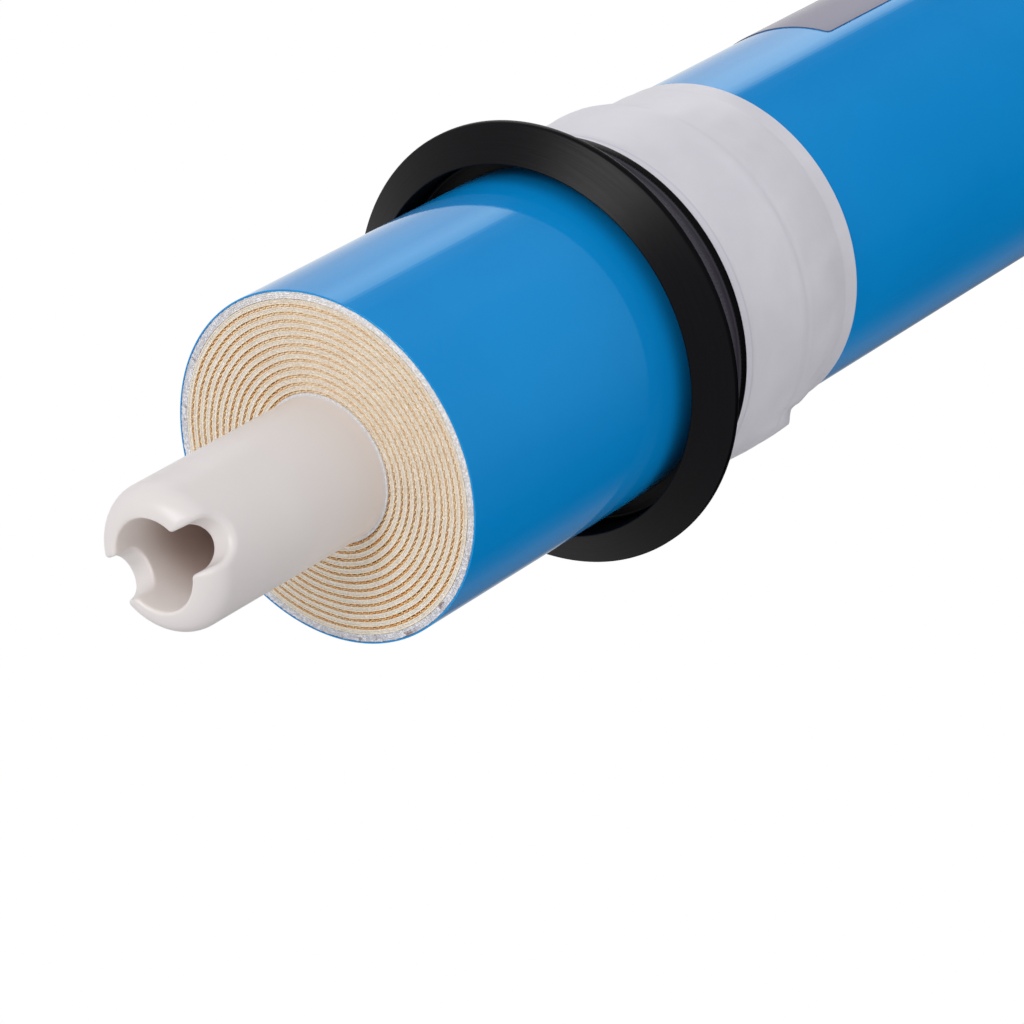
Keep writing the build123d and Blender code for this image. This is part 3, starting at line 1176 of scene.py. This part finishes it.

# %% [markdown]
# The tape is white plastic film, a little cold and slightly glossy. The layer below shows
# through as faint patches, and the stretched film has fine creases that run round it. Thin
# lines of painted shade darken the step of the upper layer and the fold at the skirt's end.

# %% Finish the white tape
tape_white, root, shader = new_material("tape_white")
_, round_it, height = round_place(root)
lengthwise = root.node("ShaderNodeCombineXYZ", None, {0: round_it * 0.004, 2: height})
creases = grain(root, 1.6, 2.0, lengthwise)
patches = band(grain(root, 6.0, 3.0), 0.35, 0.7)
one_layer = band(height, upper_step - 0.12 * MM, upper_step - 0.02 * MM)
layer_line = one_layer - band(height, upper_step + 0.05 * MM, upper_step + 0.25 * MM)
seam_line = band(height, seam - 0.5 * MM, seam) - band(height, seam, seam + 0.7 * MM)
tone = patches.mix((0.715, 0.702, 0.762), (0.745, 0.732, 0.792))
tone = one_layer.mix(tone, (0.722, 0.708, 0.775))
# Painted shade: thin darker lines along the step of the upper layer and the fold at the seam.
painted_light_mask = layer_line * 0.20 + seam_line * patches * 0.16
finish_with(
    shader,
    Base_Color=painted_light_mask.mix(tone, (0.42, 0.38, 0.46)),
    Roughness=patches * 0.08 + 0.34,
    Specular_IOR_Level=0.28,
    Normal=bump(root, creases + grain(root, 5.0) * 2.0, 0.02),
)
dress(white_tape, tape_white)

# %% [markdown]
# The label is a plain printed film, grey with a touch of lilac, glossy like the roll it
# lies on. The ink has a very fine uneven tone.

# %% Finish the label
label_grey, root, shader = new_material("label_grey")
ink = grain(root, 0.35, 3.0) * 0.5 + grain(root, 9.0) * 0.5
finish_with(
    shader,
    Base_Color=ink.mix((0.15, 0.145, 0.225), (0.18, 0.17, 0.255)),
    Roughness=grain(root, 4.0) * 0.06 + 0.16,
    Specular_IOR_Level=0.2,
    Normal=bump(root, grain(root, 6.0), 0.01),
)
dress(paper_label, label_grey)

# %% [markdown]
# All that shows at the wound face is cut edges, so every finish there is finely speckled.
# Where the knife came out it pressed the layers flat, and that side is warmer and more
# even, so each finish has clean and pressed tones, mixed by one shared rule. The leaf gets
# two: cream membrane sheet, stained here and there, and the white cloth between the sheets.


# %% Finish the leaf
def speckle(root, size, detail=3.0, low=0.38, high=0.64):
    """Patches with soft edges, about size millimetres across, 0 between and 1 on them."""
    return band(grain(root, size, detail), low, high)


def cut_side(root):
    """1 on the side of the face where the knife pressed the layers flat, 0 on the other."""
    _, round_it, _ = round_place(root)
    # The pressed side also faces the key lamp, so in the net's finishes this mask paints light as
    # well.
    towards = round_it.math("COSINE", round_it - SMEAR_ANGLE) + grain(root, 5.0) * 0.5 - 0.25
    return band(towards, 0.0, 0.7)


def finish_edge(root, shader, speck, tone, rough, depth):
    """Finishes a cut edge: its tone, with gloss and bump from the same speckle."""
    normal = bump(root, speck, depth)
    finish_with(shader, Base_Color=tone, Roughness=speck * 0.1 + rough, Normal=normal)


cream, root, shader = new_material("cream_sheet_edge")
speck = speckle(root, 0.26)
stain = speckle(root, 2.5, 2.0, 0.4, 0.75)
clean = speck.mix((0.88, 0.75, 0.56), (1.0, 0.93, 0.80))
pressed = speck.mix((0.82, 0.65, 0.46), (0.96, 0.85, 0.69))
tone = (stain * 0.5).mix(cut_side(root).mix(clean, pressed), (0.96, 0.88, 0.74))
finish_edge(root, shader, speck, tone, 0.55, 0.03)
knitted, root, shader = new_material("knitted_edge")
speck = speckle(root, 0.22, high=0.62)
clean = speck.mix((0.86, 0.78, 0.68), (0.99, 0.96, 0.92))
pressed = speck.mix((0.82, 0.72, 0.60), (0.96, 0.91, 0.84))
finish_edge(root, shader, speck, cut_side(root).mix(clean, pressed), 0.7, 0.05)
dress(leaf, cream, knitted)

# %% [markdown]
# The net is tan plastic. Its cut strands are bright. The band below them stands for the
# depth of the channel: its dark spots on the clean side, away from the key lamp, are painted
# shade in the gaps between the strands. On the pressed side, which faces the lamp, band and
# strands are painted paler: partly smeared plastic, partly painted light. The strands are
# too small for a bump to show.

# %% Finish the net
strand_tan, root, shader = new_material("strand_tan")
speck = speckle(root, 0.7, 2.0, 0.35, 0.65)
clean = speck.mix((0.90, 0.48, 0.17), (1.0, 0.70, 0.36))
pressed = speck.mix((0.90, 0.64, 0.38), (0.97, 0.78, 0.55))
tone = cut_side(root).mix(clean, pressed)
finish_with(shader, Base_Color=tone, Roughness=speck * 0.1 + 0.35)
strand_shade, root, shader = new_material("strand_shade")
# Painted shade: dark spots in the channel's gaps on the clean side, away from the key lamp.
clean = speckle(root, 0.7, 3.0, 0.52, 0.59).mix((0.98, 0.62, 0.29), (0.28, 0.12, 0.05))
pressed = speckle(root, 0.5, 2.0, 0.4, 0.6).mix((0.70, 0.50, 0.32), (0.90, 0.72, 0.51))
finish_with(shader, Base_Color=cut_side(root).mix(clean, pressed), Roughness=0.65)
dress(net, strand_tan, strand_shade)

# %% [markdown]
# The outer ring is cloth set in glue: grey-white, with darker streaks on the clean side.
# The first turn of cloth on the tube is shown as it was packed, and gets a plainer finish
# of the same kind.

# %% Finish the cloth
wrap_cloth, root, shader = new_material("wrap_cloth")
speck = speckle(root, 0.28, 4.0)
streak = speckle(root, 1.4, 3.0, 0.58, 0.66)
clean = streak.mix(speck.mix((0.64, 0.64, 0.70), (0.94, 0.94, 0.97)), (0.40, 0.34, 0.34))
pressed = speck.mix((0.74, 0.70, 0.69), (0.95, 0.94, 0.95))
finish_edge(root, shader, speck, cut_side(root).mix(clean, pressed), 0.65, 0.05)
dress(cloth_ring, wrap_cloth)
carrier_cloth, root, shader = new_material("carrier_cloth")
speck = speckle(root, 0.25, 3.0, 0.3, 0.7)
tone = speck.mix((0.66, 0.65, 0.66), (0.84, 0.83, 0.84))
finish_edge(root, shader, speck, tone, 0.7, 0.03)
dress(bpy.data.objects["permeate_carrier"], carrier_cloth)

# %% [markdown]
# One wide soft lamp stands on the side that the light comes from. A second one hangs
# higher and is seen by glossy rays only: it draws the soft sheen on the lip of the seal and
# costs the other surfaces no light.


# %% Place the lamps
def soft_lamp(name, place, aim, size, power):
    """A rectangular area lamp at place, turned to face aim."""
    data = bpy.data.lights.new(name, "AREA")
    data.shape = "RECTANGLE"
    data.size, data.size_y = size
    data.energy = power
    lamp = bpy.data.objects.new(name, data)
    bpy.context.scene.collection.objects.link(lamp)
    lamp.location = place
    lamp.rotation_euler = (Vector(place) - Vector(aim)).to_track_quat("Z", "Y").to_euler()
    return lamp


def hide_from(thing, *rays):
    """Makes a lamp or a card unseen by these kinds of rays."""
    for kind in rays:
        setattr(thing, f"visible_{kind}", False)


soft_lamp("key", (0.64, -0.54, 1.25), (0, 0, 0.25), (0.45, 0.45), 4.3)
sheen = soft_lamp("sheen", (0.42, -0.04, 0.98), (0, 0, 0.23), (0.35, 0.35), 4.0)
hide_from(sheen, "camera", "diffuse", "transmission")
print("lamps placed")

# %% [markdown]
# A photographer lays cards round a glossy product to choose what it reflects. Here one
# round card lies on the floor and glows by its own emission, painted light that no lamp
# gives. Its brightness changes with the angle: black behind the shaded side, grey in
# front, and a bright wedge that draws the pale band on the film. The long roll reflects
# two rings of it: the upper film sees the far ring and the lower film the near one, so
# each ring has its own table of angles and strengths. Only glossy rays see the card, so
# the floor stays white and the light stays as it is.

# %% Lay the card that the film reflects
FAR_GLOW = (
    (-178, 0.0), (-166, 0.01), (-142, 0.11), (-118, 0.31), (-95, 0.42), (-60, 0.43), (-40, 0.46),
    (-13, 0.31), (0, 0.45), (4, 1.5), (12, 1.73), (24, 1.08), (36, 0.90), (48, 0.75), (60, 0.82),
    (80, 0.92), (105, 0.6), (122, 0.14), (146, 0.15), (158, 0.06), (170, 0.0),
)
NEAR_GLOW = (
    (-178, 0.0), (-142, 0.0), (-130, 0.03), (-95, 0.08), (-60, 0.14), (-36, 0.17), (-13, 0.12),
    (-1, 0.20), (4, 1.3), (10, 1.9), (22, 1.65), (33, 1.2), (45, 0.91), (57, 0.88),
    (80, 0.88), (105, 0.6), (122, 0.14), (146, 0.16), (158, 0.10), (172, 0.01),
)
BRIGHTEST = 2.0
NEAR, FAR = 150 * MM, 250 * MM
CARD_R = 5.0
CARD_LIFT = 1 * MM


def glow_ramp(table, share):
    """A ramp through the strengths of a table, read by the share of a full turn."""
    stops = [((angle + 180) / 360, (glow / BRIGHTEST,) * 3) for angle, glow in table]
    return share.node("ShaderNodeValToRGB", {"stops": stops}, {0: share})


card = add(
    bpy.ops.mesh.primitive_circle_add, "floor_card", vertices=120, radius=CARD_R,
    fill_type="NGON", location=(0, 0, CARD_LIFT),
)
# Painted light: the card glows by an emission shader and is seen only by glossy rays.
glowing_card_material, root, shader = new_material("glowing_card")
reach, round_it, _ = round_place(root)
share = round_it * (1 / (2 * math.pi)) + 0.5
glow = band(reach, NEAR, FAR).mix(glow_ramp(NEAR_GLOW, share), glow_ramp(FAR_GLOW, share))
light = root.node("ShaderNodeEmission", None, {"Color": glow, "Strength": BRIGHTEST})
connect(root.tree, root.tree.nodes["Material Output"].inputs["Surface"], light)
card.data.materials.append(glowing_card_material)
hide_from(card, "camera", "diffuse", "transmission", "shadow")
print("card laid")
